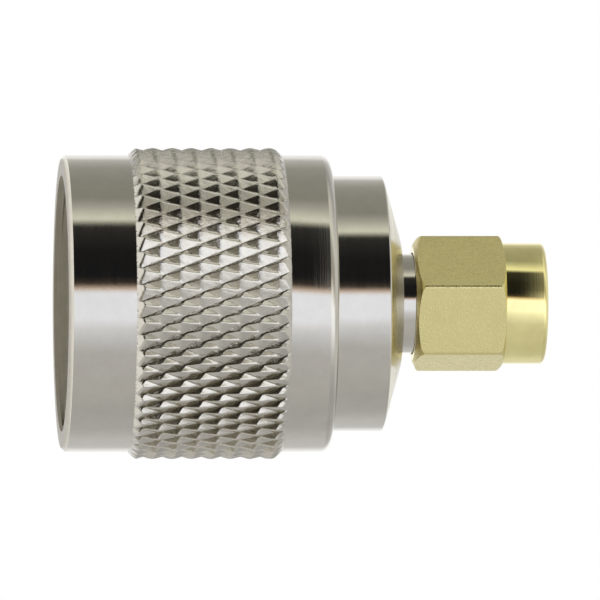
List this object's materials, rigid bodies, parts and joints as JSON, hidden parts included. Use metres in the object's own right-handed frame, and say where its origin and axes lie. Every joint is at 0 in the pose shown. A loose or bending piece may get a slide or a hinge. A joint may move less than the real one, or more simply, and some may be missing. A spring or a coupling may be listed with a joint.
{
  "type": "coaxial adapter, N plug to SMA plug",
  "caption": "Straight coaxial adapter with a knurled N coupling nut at one end and a hexagonal SMA coupling nut at the other, both turning freely.",
  "frame": {"origin": "centre of the mouth of the N coupling nut, on whose rim the adapter stands", "axes": "+Z along the common axis, from the N mouth up to the SMA end"},
  "size_m": [0.0204, 0.0204, 0.0316],
  "materials": {
    "nickel_plate": "bright nickel plate on turned brass, with fine lathe lines",
    "nickel_contact": "smooth white-bronze plate",
    "gold_plate": "satin gold plate on turned brass",
    "gold_contact": "smooth gold plate",
    "ptfe": "white PTFE",
    "silicone": "red-brown silicone rubber",
    "spring_bronze": "bare phosphor bronze"
  },
  "bodies": {
    "adapter_body": {"main_body": "nickel_plate", "n_gasket": "silicone", "n_outer_contact": "nickel_contact", "n_bead": "ptfe", "n_centre_pin": "gold_contact", "sma_gasket": "silicone", "sma_outer_contact": "gold_contact", "sma_insulator": "ptfe", "sma_centre_pin": "gold_contact"},
    "n_ring": {"n_snap_ring": "spring_bronze"},
    "n_nut": {"n_coupling_nut": "nickel_plate"},
    "sma_ring": {"sma_snap_ring": "spring_bronze"},
    "sma_nut": {"sma_coupling_nut": "gold_plate"}
  },
  "joints": [
    {"name": "n_nut_float", "type": "slide", "parent": "adapter_body", "child": "n_ring", "axis": [0, 0, -1], "range_m": [0, 0.0003]},
    {"name": "n_nut_turn", "type": "hinge", "parent": "n_ring", "child": "n_nut", "pos_m": [0, 0, 0.01545], "axis": [0, 0, 1], "continuous": true},
    {"name": "sma_nut_float", "type": "slide", "parent": "adapter_body", "child": "sma_ring", "axis": [0, 0, 1], "range_m": [0, 0.0003]},
    {"name": "sma_nut_turn", "type": "hinge", "parent": "sma_ring", "child": "sma_nut", "pos_m": [0, 0, 0.02445], "axis": [0, 0, 1], "continuous": true}
  ]
}
